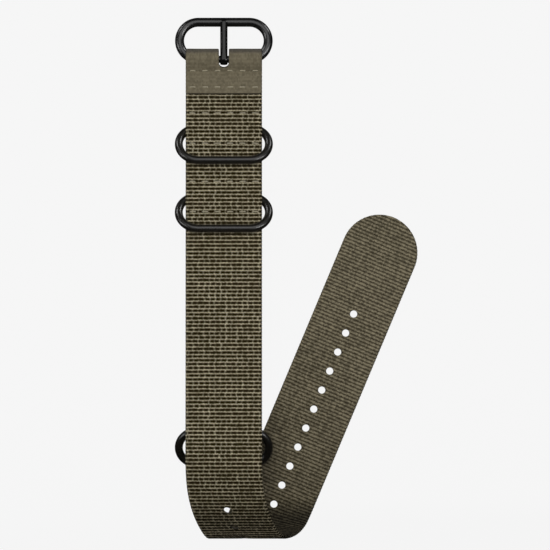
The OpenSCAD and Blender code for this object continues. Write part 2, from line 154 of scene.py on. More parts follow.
def join(parts):
    """One polyline through the parts, evenly spaced."""
    pts = np.concatenate(parts)
    keep = np.r_[True, np.hypot(*np.diff(pts, axis=0).T) > 1e-6]
    pts = pts[keep]
    s = lengths(pts)
    even = np.arange(0, s[-1], PATH_STEP)
    return np.stack([np.interp(even, s, pts[:, 0]), np.interp(even, s, pts[:, 1])], 1)


def soften(pts, width=1.3):
    """The polyline with its kinks rounded, its ends kept."""
    n = int(width / PATH_STEP) | 1
    pad = n // 2
    first = pts[0] + (pts[0] - pts[1]) * np.arange(pad, 0, -1)[:, None]
    last = pts[-1] + (pts[-1] - pts[-2]) * np.arange(1, pad + 1)[:, None]
    wide = np.concatenate([first, pts, last])
    kernel = np.hanning(n + 2)[1:-1]
    kernel /= kernel.sum()
    return np.stack([np.convolve(wide[:, i], kernel, "valid") for i in (0, 1)], 1)


class Path:
    """A webbing's middle line: its profile in the YZ plane, and its steer to the side."""

    def __init__(self, profile, zero=0.0, steer=None, weft=None):
        self.yz = profile
        self.s = lengths(profile) - zero
        d = np.gradient(profile, self.s, axis=0)
        d /= np.hypot(d[:, 0], d[:, 1])[:, None]
        self.normal = np.stack([d[:, 1], -d[:, 0]], 1)
        self.x = np.zeros(len(self.s)) if steer is None else steer(self.s)
        dx = np.gradient(self.x, self.s)
        self.turn = np.zeros(len(self.s)) if weft is None else weft(self.s)
        run = np.sqrt(1 + dx * dx)
        steps = np.diff(self.s) * (run[1:] + run[:-1]) / 2
        self.a = np.r_[0, np.cumsum(steps)]

    def place(self, p, a, h):
        """Points p across and a along the webbing, h out of its front face, in metres."""
        s0 = np.interp(a, self.a, self.s)
        x0 = np.interp(s0, self.s, self.x)
        turn = np.interp(s0, self.s, self.turn)
        s = s0 - p * np.sin(turn)
        y = np.interp(s, self.s, self.yz[:, 0]) + h * np.interp(s, self.s, self.normal[:, 0])
        z = np.interp(s, self.s, self.yz[:, 1]) + h * np.interp(s, self.s, self.normal[:, 1])
        return np.stack([x0 + p * np.cos(turn), y, z], 1) * MM


def bezier(c, n=200):
    u = np.linspace(0, 1, n)[:, None]
    v = 1 - u
    return v**3 * c[0] + 3 * u * v**2 * c[1] + 3 * u * u * v * c[2] + u**3 * c[3]


def main_path():
    """The main strap's path, the length of its loop, and the loop's outermost point."""
    start = to_row(LOOP_Y, -HALF_T)
    height = start[1] - TAIL_Z
    far = np.array([start[0] - LOOP_FRONT, TAIL_Z + height * LOOP_LOW])
    end = np.array([far[0] + LOOP_TAIL, TAIL_Z])
    back = np.array([-math.cos(TILT), math.sin(TILT)])
    up, ahead = np.array([0, 1.0]), np.array([1.0, 0])
    k, m = UPPER_PULL, LOWER_PULL
    upper = bezier([start, start + k * LOOP_FRONT * back, far + k * (start[1] - far[1]) * up, far])
    lower = bezier([far, far - m * (far[1] - end[1]) * up, end - m * LOOP_TAIL * ahead, end])
    kink = (-FLAP_SEAMS[0], HALF_T)
    on = tangent_angle(kink, FOLD_MID, -1)
    fold = soften(join([
        line((-FLAP_LEN, HALF_T), kink),
        arc((0, 0), FOLD_MID, on, -on),
        line((-FLAP_SEAMS[0], -HALF_T), (LOOP_Y - PIVOT_Y, -HALF_T)),
    ]))
    fold = np.array([to_row(PIVOT_Y + y, z) for y, z in fold])
    tail = line(end, end + np.array([TAIL_RUN, 0]))
    profile = join([fold, upper, lower, tail])
    upper_len, lower_len = (np.hypot(*np.diff(c, axis=0).T).sum() for c in (upper, lower))
    loop_len = upper_len + lower_len
    flat_from = loop_len + WEBBING_W / 2 * math.sin(TAIL_ANGLE) + FLAT_MARGIN
    front_len = np.hypot(*np.diff(fold, axis=0).T).sum()

    def steer(s):
        length = loop_len - LOOP_IN_LINE
        u = (s - LOOP_IN_LINE) / length
        slope = math.tan(TAIL_ANGLE)
        turn = (4 * TAIL_SHIFT - slope * length) * u**3 * (1 - u) + TAIL_SHIFT * u**4
        beyond = TAIL_SHIFT + slope * (s - loop_len)
        return np.where(s <= LOOP_IN_LINE, 0, np.where(s >= loop_len, beyond, turn))

    def weft(s):
        begin = upper_len - TURN_LEAD
        return TAIL_ANGLE * smooth((s - begin) / (flat_from - begin))

    return Path(profile, front_len, steer, weft), loop_len, far


def backing_path():
    """The backing strap's path: down behind the front, round both keepers and the end ring."""
    top = UPPER_KEEPER + TUNNEL_SEAMS[0] + SEAM_MARGIN
    front = [np.array([[top, BACKING_Z]])]
    for bar in (UPPER_KEEPER, LOWER_KEEPER):
        up = (TUNNEL_SEAMS[0] - TUNNEL_LEADS[0], BACKING_Z - KEEPER_Z)
        down = (TUNNEL_SEAMS[1] + TUNNEL_LEADS[1], BACKING_Z - KEEPER_Z)
        a0 = tangent_angle(up, TUNNEL_MID, -1)
        a1 = tangent_angle(down, TUNNEL_MID, 1) - 360
        if a1 < -360:
            a1 += 360
        front.append(np.array([[bar + up[0], KEEPER_Z + up[1]]]))
        front.append(arc((bar, KEEPER_Z), TUNNEL_MID, a0, a1))
        front.append(np.array([[bar + down[0], KEEPER_Z + down[1]]]))
    front.append(np.array([HINGE]))
    on = tangent_angle((END_SEAMS[0], HALF_T), TUNNEL_MID, 1)
    local = np.concatenate([
        np.array([[0.0, 0.0], [-FREE_LEN + END_SEAMS[0], 0]]),
        arc((-FREE_LEN, -HALF_T), TUNNEL_MID, on, 360 - on),
        np.array([[-FREE_LEN + END_SEAMS[0], -WEBBING_T], [-FREE_LEN + END_FLAP, -WEBBING_T]]),
    ])
    c, s = math.cos(SAG), math.sin(SAG)
    free_y = HINGE[0] + local[:, 0] * c - local[:, 1] * s
    free_z = HINGE[1] + local[:, 0] * s + local[:, 1] * c
    pts = soften(join([np.concatenate(front), np.stack([free_y, free_z], 1)]), 1.1)
    return Path(np.array([to_row(y, z) for y, z in pts]))


# ---------------------------------------------------------------- webbing mesh
class Webbing:
    """Builds a webbing as one closed mesh: ribs on both faces, round selvedges, melted holes.

    A row of points goes over the front face, round the right selvedge, back over the back face
    and round the left selvedge. strip holds each point's distance across and along.
    """

    CELLS = 20
    ROWS = (0.0, 0.09, 0.26, 0.5, 0.74, 0.91)
    ROW_SPARE = 0.04
    EDGE = np.radians([70, 35, 0, -35, -70])
    EDGE_R = 0.5
    FRONT_RELIEF, BACK_RELIEF, FLAP_LESS = 0.16, 0.1, 0.085
    SERRATION = 0.09
    RIB_POWER = 0.7
    # How far a melted end, a hole's rim and the slot's rim reach, and the ribs' level there.
    MELTED_END, MELTED_RIM, MELTED_SLOT, MELTED_LEVEL = 0.9, 0.55, 0.5, 0.75
    PINCH_WIDTH = 0.75

    def __init__(self, name, path, width, end, pitch, round_tip=False, holes=(), slot=None,
                 pinches=(), smooth_to=-9.0):
        self.name, self.path, self.width, self.end = name, path, width, end
        self.round_tip, self.holes, self.slot = round_tip, holes, slot
        self.pinches, self.smooth_to = pinches, smooth_to
        grid = np.linspace(0.0, end, 4000)
        rib = np.r_[0, np.cumsum(np.diff(grid) / pitch((grid[1:] + grid[:-1]) / 2))]
        self.grid, self.rib = grid, rib
        rows = [k + f for k in range(int(rib[-1]) + 1) for f in self.ROWS]
        rows = [r for r in rows if self.ROW_SPARE < r < rib[-1] - self.ROW_SPARE]
        self.rows = np.r_[0.0, np.interp(rows, rib, grid), end]
        self.across = np.linspace(-1, 1, self.CELLS + 1)
        self.back = self.CELLS + 1 + len(self.EDGE)
        self.left = self.back + self.CELLS + 1
        self.size = self.left + len(self.EDGE)
        self.verts, self.faces, self.kind, self.strip = [], [], [], []

    def ribs(self, a):
        return np.interp(a, self.grid, self.rib)

    def half(self, a):
        """Half the width at a, less in a round tip."""
        full = self.width / 2
        if not self.round_tip:
            return full
        past = np.clip(a - (self.end - full), 0, full - 0.02)
        return math.sqrt(full * full - past * past)

    def relief(self, p, a, front):
        """Height of the face over the middle, with ribs, pinched seams and melted rims."""
        v = self.ribs(a)
        back = self.BACK_RELIEF - self.FLAP_LESS * smooth((self.smooth_to - a) / 2)
        depth = self.FRONT_RELIEF if front else back
        rib = np.abs(np.sin(np.pi * v)) ** self.RIB_POWER
        near = np.minimum(a, self.end - a)
        melted = smooth(1 - near / self.MELTED_END)
        for ha, hp, hr in self.holes:
            within = hr + self.MELTED_RIM - np.hypot(p - hp, a - ha)
            melted = np.maximum(melted, smooth(within / 0.5))
        if self.slot:
            within = self.MELTED_SLOT - self.slot_distance(p, a)
            melted = np.maximum(melted, smooth(within / 0.45))
        rib = rib * (1 - melted) + self.MELTED_LEVEL * melted
        h = HALF_T - depth * (1 - rib)
        for at, strength in self.pinches:
            h = h - strength * np.exp(-(((a - at) / self.PINCH_WIDTH) ** 2))
        # Slow waves, so that the cloth isn't quite flat.
        return h + 0.012 * np.sin(a * 0.83 + p * 0.41) + 0.01 * np.sin(a * 0.37 - p * 0.9)

    def slot_distance(self, p, a):
        a0, a1 = self.slot
        return np.hypot(p, a - np.clip(a, a0 + SLOT_R, a1 - SLOT_R)) - SLOT_R

    def add(self, p, a, h, strip):
        """Adds points given across, along and out, and returns their first index."""
        first = len(self.verts)
        self.verts.extend(self.path.place(p, a, h))
        self.strip.extend(strip)
        return first

    def add_face(self, face, kind, flip=False):
        """Adds a face of kind 0, the front, 1, the back, or 2, a cut edge."""
        self.faces.append(tuple(face[::-1] if flip else face))
        self.kind.append(kind)

    def add_row(self, a):
        w = float(self.half(a))
        comb = abs(math.sin(math.pi * float(self.ribs(a)))) ** self.RIB_POWER
        r = min(self.EDGE_R, w * 0.45)
        flat = w - r
        p = self.across * flat
        along = np.full(self.CELLS + 1, a)
        top, low = self.relief(p, along, True), -self.relief(p, along, False)
        out = r * np.cos(self.EDGE) - self.SERRATION * (1 - comb)
        rise = np.where(self.EDGE > 0, top[-1], -low[-1]) * np.sin(self.EDGE)
        girth = flat + (math.pi / 2 - self.EDGE) * r
        pts_p = np.r_[p, flat + out, p[::-1], -flat - out]
        pts_h = np.r_[top, rise, low[::-1], rise[::-1]]
        strip = np.r_[p, girth, BACK + p[::-1], -girth]
        return self.add(pts_p, np.full(self.size, a), pts_h, [(s, a) for s in strip])

    def build(self, materials):
        n, back, left, size = self.CELLS, self.back, self.left, self.size
        firsts = [self.add_row(a) for a in self.rows]
        blocked = self.patches()
        for i, (a0, a1) in enumerate(zip(firsts, firsts[1:])):
            for j in range(size):
                on_back = back <= j < back + n and (i, n - 1 - (j - back)) in blocked
                if on_back or (j < n and (i, j) in blocked):
                    continue
                k = (j + 1) % size
                self.add_face((a0 + j, a1 + j, a1 + k, a0 + k), int(back - 3 <= j < left + 2))
        for first, flip in ((firsts[0], False), (firsts[-1], True)):
            for j in range(n):
                other = first + back + n - j
                self.add_face((first + j, first + j + 1, other - 1, other), 2, flip)
            for lo, hi in ((n, back), (left - 1, size)):
                self.add_face([first + j % size for j in range(lo, hi + 1)], 2, flip)
        return self.finish_mesh(materials)

    def patches(self):
        """Rebuilds the cells round each hole so that its rim is round, and adds its wall."""
        blocked = set()
        cols = self.across * (self.width / 2 - self.EDGE_R)
        spots = [(ha, hp, hr, None) for ha, hp, hr in self.holes]
        if self.slot:
            spots.append((sum(self.slot) / 2, 0.0, SLOT_R, self.slot))
        for spot in spots:
            ha, hp, hr, slot = spot
            reach = PATCH_REACH + (hr if slot is None else (slot[1] - slot[0]) / 2)
            i0 = int(np.searchsorted(self.rows, ha - reach)) - 1
            i1 = int(np.searchsorted(self.rows, ha + reach))
            j0 = int(np.searchsorted(cols, hp - hr - PATCH_REACH)) - 1
            j1 = int(np.searchsorted(cols, hp + hr + PATCH_REACH))
            blocked.update((i, j) for i in range(i0, i1) for j in range(j0, j1))
            rims = [self.patch(i0, i1, j0, j1, cols, spot, front) for front in (True, False)]
            self.wall(*rims, spot)
        return blocked

    def outline(self, grow, spot):
        """Points on the hole's outline moved out by grow, as [across, along]."""
        ha, hp, hr, slot = spot
        r = hr + grow
        if slot is None:
            t = np.linspace(0, 2 * math.pi, RIM_POINTS, endpoint=False)
            return np.stack([hp + r * np.cos(t), ha + r * np.sin(t)], 1)
        half = (slot[1] - slot[0]) / 2 - hr
        t = np.linspace(0, math.pi, 13)
        down = np.linspace(half, -half, 47)[1:-1]
        side = np.full(len(down), r)
        top = np.stack([r * np.cos(t), half + r * np.sin(t)], 1)
        low = np.stack([-r * np.cos(t), -half - r * np.sin(t)], 1)
        pts = [top, np.stack([-side, down], 1), low, np.stack([side, -down], 1)]
        return np.concatenate(pts) + [hp, ha]

    def inside(self, pts, grow, spot):
        ha, hp, hr, slot = spot
        if slot is None:
            return np.hypot(pts[:, 0] - hp, pts[:, 1] - ha) < hr + grow
        return self.slot_distance(pts[:, 0], pts[:, 1]) < grow

    def patch(self, i0, i1, j0, j1, cols, spot, front):
        """Fills rows i0 to i1 and columns j0 to j1 of a face round the hole, and returns the
        rim."""
        rows = self.rows
        border = [(i0, j) for j in range(j0, j1)] + [(i, j1) for i in range(i0, i1)]
        border += [(i1, j) for j in range(j1, j0, -1)] + [(i, j0) for i in range(i1, i0, -1)]
        old = [i * self.size + (j if front else self.back + self.CELLS - j) for i, j in border]
        pts = [(cols[j], rows[i]) for i, j in border]
        count = len(pts)
        edges = [(k, (k + 1) % count) for k in range(count)]
        for grow in RIM_GROWS:
            pts += [tuple(q) for q in self.outline(grow, spot)]
        rim_count = (len(pts) - count) // len(RIM_GROWS)
        edges += [(count + k, count + (k + 1) % rim_count) for k in range(rim_count)]
        inner = []
        for i in range(i0 + 1, i1):
            for shift in (0.0, 0.5):
                for j in range(j0, j1):
                    p = cols[j] + shift * (cols[1] - cols[0])
                    if cols[j0] + 0.1 < p < cols[j1] - 0.1:
                        inner.append((p, rows[i]))
        if inner:
            inner = np.array(inner)
            pts += [tuple(q) for q in inner[~self.inside(inner, 0.46, spot)]]
        v, _, tris, _, _, _ = delaunay_2d_cdt([Vector(q) for q in pts], edges, [], 0, 1e-6)
        v = np.array([tuple(q) for q in v])
        if len(v) != len(pts):
            raise RuntimeError("a hole's patch gained points")
        p, a = v[count:, 0], v[count:, 1]
        h = self.relief(p, a, front)
        ring = np.arange(len(p)) // rim_count
        for k, sink in enumerate(RIM_SINKS):
            h = np.where(ring == k, h - sink, h)
        strip = [(q if front else q + BACK, r) for q, r in zip(p, a)]
        first = self.add(p, a, h if front else -h, strip)
        ids = old + list(range(first, first + len(p)))
        gone = self.inside(v[np.array(tris)].mean(axis=1), 0, spot)
        for t, out in zip(tris, gone):
            if not out:
                (p0, a0), (p1, a1), (p2, a2) = v[list(t)]
                turn = (p1 - p0) * (a2 - a0) - (a1 - a0) * (p2 - p0)
                self.add_face([ids[k] for k in t], 0 if front else 1, (turn > 0) == front)
        return list(range(first, first + rim_count))

    def wall(self, top, low, spot):
        """Joins the rims of a hole on both faces through its melted wall."""
        count = len(top)
        rims = [top]
        for grow, h in ((-0.06, 0.22), (-0.08, 0.0), (-0.06, -0.22)):
            pts = self.outline(grow, spot)
            strip = [(WALL + q, r) for q, r in pts]
            first = self.add(pts[:, 0], pts[:, 1], np.full(count, h), strip)
            rims.append(list(range(first, first + count)))
        rims.append(low)
        for upper, lower in zip(rims, rims[1:]):
            for k in range(count):
                m = (k + 1) % count
                self.add_face((upper[k], upper[m], lower[m], lower[k]), 2)

    def finish_mesh(self, materials):
        """Makes the object, with a map for the weave and one without overlaps for baking."""
        mesh = bpy.data.meshes.new(self.name)
        mesh.from_pydata([tuple(v) for v in self.verts], [], self.faces)
        for m in materials:
            mesh.materials.append(m)
        mesh.polygons.foreach_set("material_index", self.kind)
        mesh.polygons.foreach_set("use_smooth", [True] * len(self.faces))
        loops = np.zeros(len(mesh.loops), int)
        mesh.loops.foreach_get("vertex_index", loops)
        face_of = np.repeat(np.arange(len(self.faces)), [len(f) for f in self.faces])
        kind = np.array(self.kind)[face_of]
        strip = np.array(self.strip, float)
        across, along = strip[loops, 0], strip[loops, 1]
        on_wall, on_back = across > (BACK + WALL) / 2, across > BACK / 2
        across = np.where(on_wall, across - WALL, np.where(on_back, across - BACK, across))
        set_map(mesh, "Weave", across, self.ribs(along))

        # The baking map holds both faces in three lengths, side by side, and the cut edges beyond.
        pieces = 3
        length = self.end / pieces
        middle = np.array([np.mean([strip[v, 1] for v in f]) for f in self.faces])[face_of]
        part = np.clip((middle // length).astype(int), 0, pieces - 1)
        pitch = self.width + 3.0
        total = pitch * pieces * 2
        level = np.clip(across, -pitch / 2 + 0.2, pitch / 2 - 0.2) + pitch / 2
        u = (along - part * length + 1.0) / total
        v = (level + pitch * (part * 2 + np.minimum(kind, 1))) / total
        u = np.where(kind == 2, (length + 3 + (along - middle) + 5 * (part + 1)) / total, u)
        v = np.where(kind == 2, middle / self.end * 0.9 + 0.04 + across / total * 0.1, v)
        baked = set_map(mesh, "OFBake", u, v)
        mesh.uv_layers.active = baked
        baked.active_render = True
        mesh.validate()
        return link(self.name, mesh)


def set_map(mesh, name, u, v):
    """Adds a UV map from its values at every face corner."""
    layer = mesh.uv_layers.new(name=name)
    layer.data.foreach_set("uv", np.stack([u, v], 1).astype(np.float32).ravel())
    return layer


def link(name, data):
    obj = bpy.data.objects.new(name, data)
    bpy.context.scene.collection.objects.link(obj)
    return obj


# ---------------------------------------------------------------- materials
class Net:
    """Short ways to add and join shader nodes."""

    def __init__(self, tree):
        self.tree = tree

    def put(self, socket, value):
        if isinstance(value, bpy.types.NodeSocket):
            self.tree.links.new(value, socket)
        elif value is not None:
            socket.default_value = value

    def math(self, op, a, b=None, c=None, clamp=False):
        n = self.tree.nodes.new("ShaderNodeMath")
        n.operation, n.use_clamp = op, clamp
        for s, v in zip(n.inputs, (a, b, c)):
            self.put(s, v)
        return n.outputs[0]

    def add(self, a, b):
        return self.math("ADD", a, b)

    def less(self, a, b):
        return self.math("SUBTRACT", a, b)

    def times(self, a, b, clamp=False):
        return self.math("MULTIPLY", a, b, clamp=clamp)

    def times_add(self, a, b, c, clamp=False):
        return self.math("MULTIPLY_ADD", a, b, c, clamp)

    def floor(self, a):
        return self.math("FLOOR", a)

    def from_whole(self, a):
        """How far a value is from the nearest whole number."""
        return self.math("ABSOLUTE", self.less(a, self.math("ROUND", a)))

    def ramp(self, value, low, high, out_low=0.0, out_high=1.0, how="SMOOTHSTEP"):
        n = self.tree.nodes.new("ShaderNodeMapRange")
        n.interpolation_type = how
        for s, v in zip(n.inputs, (value, low, high, out_low, out_high)):
            self.put(s, v)
        return n.outputs[0]

    def mix(self, share, a, b):
        n = self.tree.nodes.new("ShaderNodeMix")
        n.data_type = "RGBA"
        self.put(n.inputs[0], share)
        self.put(n.inputs[6], a)
        self.put(n.inputs[7], b)
        return n.outputs[2]

    def uv(self, name):
        n = self.tree.nodes.new("ShaderNodeUVMap")
        n.uv_map = name
        s = self.tree.nodes.new("ShaderNodeSeparateXYZ")
        self.tree.links.new(n.outputs[0], s.inputs[0])
        return s.outputs[0], s.outputs[1]

    def combine(self, x, y):
        n = self.tree.nodes.new("ShaderNodeCombineXYZ")
        for s, v in zip(n.inputs, (x, y)):
            self.put(s, v)
        return n.outputs[0]

    def white(self, x, y):
        n = self.tree.nodes.new("ShaderNodeTexWhiteNoise")
        n.noise_dimensions = "2D"
        self.put(n.inputs["Vector"], self.combine(x, y))
        return n.outputs["Value"]

    def noise(self, vector, scale, detail=2.0, rough=0.5):
        n = self.tree.nodes.new("ShaderNodeTexNoise")
        self.put(n.inputs["Vector"], vector)
        n.inputs["Scale"].default_value = scale
        n.inputs["Detail"].default_value = detail
        n.inputs["Roughness"].default_value = rough
        return n.outputs[0]

    def object_point(self):
        return self.tree.nodes.new("ShaderNodeTexCoord").outputs["Object"]

    def bump(self, height, strength, distance):
        n = self.tree.nodes.new("ShaderNodeBump")
        n.inputs["Strength"].default_value = strength
        n.inputs["Distance"].default_value = distance
        self.put(n.inputs["Height"], height)
        return n.outputs[0]


def material(name, **sockets):
    """A material of one Principled shader, its sockets given by name."""
    m = bpy.data.materials.new(name)
    m.use_nodes = True
    m.node_tree.nodes.clear()
    nt = m.node_tree
    out = nt.nodes.new("ShaderNodeOutputMaterial")
    bsdf = nt.nodes.new("ShaderNodeBsdfPrincipled")
    nt.links.new(bsdf.outputs[0], out.inputs[0])
    for k, v in sockets.items():
        bsdf.inputs[k.replace("_", " ")].default_value = v
    return m, Net(nt), bsdf.inputs


def woven(name, light, mid, dark, gap, dash, bridge, contrast, relief, wobble, speckle,
          spots=0.0, narrow=1.0, calm=None, band=None):
    """Ribbed webbing: rows of yarn floats, with dark dashes between the rows, partly their own
    colour and partly painted shade in these recesses. The weave map holds millimetres across and
    ribs along. The ribs up to calm are smoother and darker, and the span band gets painted shade."""
    m, net, into = material(name, Roughness=0.82, Sheen_Weight=0.02, Sheen_Roughness=0.5)
    times, times_add, less, floor = net.times, net.times_add, net.less, net.floor
    across, rib = net.uv("Weave")

    # u counts columns, and wobbles from yarn to yarn. row counts ribs.
    flow = net.noise(net.combine(across, times(rib, 1.1)), 0.35, 3)
    across_j = net.add(across, times(less(flow, 0.5), 1.1))
    row = floor(net.add(rib, 0.5))
    u = net.add(net.math("DIVIDE", across_j, COLUMN), times(net.math("MODULO", row, 2.0), 0.22))
    wave = net.noise(net.combine(across, rib), 1.7, 3, 0.6)
    rib_w = times_add(less(wave, 0.5), wobble, rib)

    # pit is 1 in the dark dashes between the rows, partly painted shade in these recesses, and less
    # where a float bridges two dashes.
    off, cell = net.from_whole(rib_w), net.from_whole(u)
    groove = net.ramp(off, gap * 1.2, gap * 0.7)
    in_dash = net.ramp(cell, dash * 0.5 + 0.05, dash * 0.5 - 0.07)
    closed = net.white(floor(u), net.add(row, 0.5))
    bridged = net.ramp(closed, 0.05, 0.8, bridge, bridge + 0.16)
    column = floor(times(u, 2.0))
    streak = net.white(column, floor(times(net.add(rib, column), 0.23)))
    streak = times(net.ramp(streak, 0.78, 0.95), spots)
    narrow_groove = net.ramp(off, gap * narrow * 1.2, gap * narrow * 0.6)
    between = times(narrow_groove, times_add(streak, -0.35, bridged))
    pit = net.math("MAXIMUM", times(groove, in_dash), between)
    if calm:
        pit = times(pit, net.ramp(rib, calm, calm + 1.5, 0.12, 1.0))

    # share runs from the mid tone to the light one, by yarn, fibre and broad patches.
    tone = net.white(floor(times(u, 2.0)), row)
    fine_tone = net.white(floor(times(u, 4.0)), floor(times(rib_w, 2.0)))
    fibre = net.noise(net.combine(times(across, 9.0), times(rib, 2.0)), 1.6, 4, 0.6)
    patchy = net.noise(net.combine(across, times(rib, 1.05)), 0.09, 3)
    share = times_add(tone, 0.34, times_add(fibre, 0.5, times(patchy, 0.3)))
    share = times_add(fine_tone, speckle, share)
    share = net.ramp(share, 0.35 + speckle * 0.3, 0.85 + speckle * 0.6)
    if calm:
        share = times_add(less(share, 0.5), net.ramp(rib, calm, calm + 1.5, 0.45, 1.0), 0.5)
    colour = net.mix(share, mid, light)
    if spots:
        crossing = net.ramp(cell, dash * 0.5, dash * 0.5 + 0.12)
        at_cross = times(times(crossing, net.ramp(closed, 0.6, 0.3)), spots)
        glint = net.math("MAXIMUM", at_cross, times(streak, 0.4))
        colour = net.mix(times(glint, GLINT_SHARE), colour, GLINT_TONE)
        # Darker between the yarns: partly their own colour, partly painted shade in the grooves
        # between them.
        yarns = net.math("COSINE", times(u, 4 * math.pi))
        colour = net.mix(net.ramp(yarns, 0.5, -0.9, 0.0, YARN_GAP), colour, dark)
    if calm:
        colour = net.mix(net.ramp(rib, calm, calm + 1.5, CALM_SHADE, 0.0), colour, dark)
    # Painted shade on the ribs where the webbing turns over the fold.
    if band:
        begins = net.ramp(rib, band[0], band[0] + FOLD_SHADE_BLUR)
        shade = times(begins, net.ramp(rib, band[1] + FOLD_SHADE_BLUR, band[1]))
        colour = net.mix(times(shade, FOLD_SHADE_SHARE), colour, FOLD_SHADE_TONE)
    # The dark of the pits is partly the weave's own colour and partly painted shade in these
    # recesses.
    net.put(into["Base Color"], net.mix(times(pit, contrast, clamp=True), colour, dark))

    yarn = net.math("ABSOLUTE", net.math("SINE", times(across_j, 3 * math.pi)))
    height = less(times_add(yarn, 0.35, times(fibre, 0.5)), times(pit, 1.3))
    net.put(into["Normal"], net.bump(height, relief, 0.00016))
    net.put(into["Specular IOR Level"], net.ramp(pit, 0.0, 0.7, 0.22, 0.02, "LINEAR"))
    net.put(into["Roughness"], net.ramp(fibre, 0.2, 0.8, 0.72, 0.92, "LINEAR"))
    return m


def cut_edge(name, dark, light):
    m, net, into = material(name, Roughness=0.5)
    n = net.noise(net.object_point(), 1400, 4)
    net.put(into["Base Color"], net.mix(net.ramp(n, 0.3, 0.7), dark, light))
    net.put(into["Normal"], net.bump(n, 0.5, 0.0001))
    return m


def twisted(name, light, mid):
    """Thread, with its plies winding round it."""
    m, net, into = material(name, Roughness=0.6, Sheen_Weight=0.15)
    across, along = net.uv("Weave")
    ply = net.math("SINE", net.times(net.add(net.times(along, 4.6), across), 2 * math.pi))
    fuzz = net.noise(net.object_point(), 5200, 3)
    share = net.times_add(ply, 0.3, net.times(fuzz, 0.9), clamp=True)
    net.put(into["Base Color"], net.mix(share, mid, light))
    net.put(into["Normal"], net.bump(net.times_add(ply, 0.5, fuzz), 0.8, 0.00006))
    return m


def coated(name, smoothest, roughest, shine, dark, light):
    m, net, into = material(name, Specular_IOR_Level=shine)
    p = net.object_point()
    broad, fine = net.noise(p, 160, 3), net.noise(p, 3800, 4, 0.65)
    patches = net.times_add(broad, 0.6, net.times(fine, 0.4))
    net.put(into["Base Color"], net.mix(net.ramp(fine, 0.35, 0.75), dark, light))
    net.put(into["Roughness"], net.ramp(patches, 0.3, 0.75, smoothest, roughest, "LINEAR"))
    net.put(into["Normal"], net.bump(fine, 0.04, 0.00004))
    return m


# ---------------------------------------------------------------- small pieces
def tube_faces(rows, sides):
    """Faces of a closed tube of rows of points."""
    faces = []
    for i in range(rows - 1):
        for k in range(sides):
            m = (k + 1) % sides
            faces.append((i * sides + k, i * sides + m, (i + 1) * sides + m, (i + 1) * sides + k))
    faces.append(tuple(range(sides))[::-1])
    faces.append(tuple((rows - 1) * sides + k for k in range(sides)))
    return faces


def tube(path, radius, sides):
    """A round tube through the points: its points, faces and map."""
    d = np.gradient(path, axis=0)
    d /= np.linalg.norm(d, axis=1)[:, None]
    verts, uvs = [], []
    length = np.r_[0, np.cumsum(np.linalg.norm(np.diff(path, axis=0), axis=1))]
    steep = abs(d[:, 2]).max() >= STEEP
    side = np.cross(d[0], [1.0, 0.0, 0.0] if steep else [0.0, 0.0, 1.0])
    side /= np.linalg.norm(side)
    for at, ahead, run in zip(path, d, length):
        side = side - ahead * (side @ ahead)
        side /= np.linalg.norm(side)
        other = np.cross(side, ahead)
        for k in range(sides):
            t = 2 * math.pi * k / sides
            verts.append(at + radius * (math.cos(t) * side + math.sin(t) * other))
            uvs.append((k / sides, run))
    return verts, tube_faces(len(path), sides), uvs


def mesh_object(name, parts, mat):
    verts, faces, uvs = [], [], []
    for v, f, t in parts:
        base = len(verts)
        verts += [tuple(np.array(q) * MM) for q in v]
        faces += [tuple(base + k for k in face) for face in f]
        uvs += t
    mesh = bpy.data.meshes.new(name)
    mesh.from_pydata(verts, [], faces)
    mesh.materials.append(mat)
    mesh.polygons.foreach_set("use_smooth", [True] * len(faces))
    idx = np.zeros(len(mesh.loops), int)
    mesh.loops.foreach_get("vertex_index", idx)
    set_map(mesh, "Weave", *np.array(uvs)[idx].T)
    return link(name, mesh)


def seam(name, to_frame, top, low, mat):
    """One row of lockstitch, in a frame given by to_frame(y, z): stitches above and between them
    below."""
    points, thread_r, sides = 15, 0.18, 10
    rng = np.random.default_rng(sum(map(ord, name)))
    parts = []
    first = -(STITCHES - 1) / 2 * STITCH_PITCH
    below = (STITCH_PITCH - STITCH_LEN) / 2 + 0.3
    for i in range(STITCHES):
        for side, z, half in ((1, top, STITCH_LEN / 2), (-1, low, below)):
            if side < 0 and i == STITCHES - 1:
                continue
            step = i + (0.5 if side < 0 else 0)
            x0 = first + step * STITCH_PITCH + rng.uniform(-0.08, 0.08)
            lift = rng.uniform(0.02, 0.07)
            skew = rng.uniform(-0.06, 0.06)
            t = np.linspace(-1, 1, points)
            # The ends of a stitch dive into the cloth.
            dive = 0.85 * np.clip(np.abs(t) - 0.62, 0, 1) ** 1.4 * 2.6
            height = side * (lift + 0.05 - dive)
            yz = np.array([to_frame(skew * q, z + h) for q, h in zip(t, height)])
            path = np.stack([x0 + t * half, yz[:, 0], yz[:, 1]], 1)
            parts.append(tube(path, thread_r, sides))
    return mesh_object(name, parts, mat)


# The tongue's blade: distance from the pivot, height over it, and half its thickness.
BLADE = (
    (0.7, 1.40, 0.34), (1.6, 1.42, 0.44), (3.0, 1.46, 0.50), (5.2, 1.62, 0.50), (7.6, 1.79, 0.49),
    (9.6, 1.80, 0.46), (10.3, 1.78, 0.44), (10.8, 1.74, 0.40), (11.1, 1.69, 0.33),
    (FRAME_PITCH + TONGUE_OVERHANG - 0.08, 1.64, 0.24), (FRAME_PITCH + TONGUE_OVERHANG, 1.62, 0.12),
)


def rounded(value, power=0.9):
    return math.copysign(abs(value) ** power, value)


